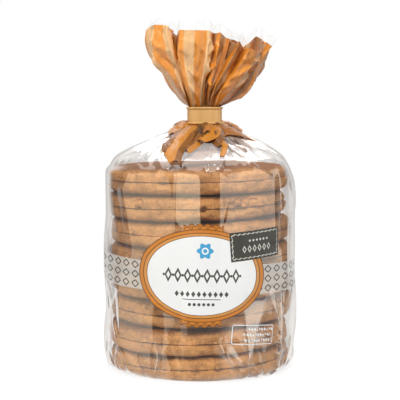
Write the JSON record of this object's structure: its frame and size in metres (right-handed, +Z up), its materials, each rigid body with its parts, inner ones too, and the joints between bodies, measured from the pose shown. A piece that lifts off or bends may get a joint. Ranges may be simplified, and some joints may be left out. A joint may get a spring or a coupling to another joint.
{
  "type": "bag of speculoos cookies",
  "caption": "Upright clear film bag round a stack of round sandwich cookies, gathered at the neck by a flat gold band under a flared ruffle of printed film.",
  "frame": {"origin": "centre of the bag's flat base", "axes": "+Z up through the neck, -Y the printed front, +X to the right of it"},
  "size_m": [0.092, 0.092, 0.1665],
  "materials": {
    "film": "clear glossy packing film over brown biscuits, printed orange and beige at the neck",
    "gold_band": "satin gold-coloured strip with rounded edges",
    "biscuit": "dry, sandy, evenly browned spiced biscuit",
    "syrup": "dark sticky syrup between two biscuits"
  },
  "bodies": {
    "root": {"bag": "film", "neck_band": "gold_band"}
  },
  "joints": []
}
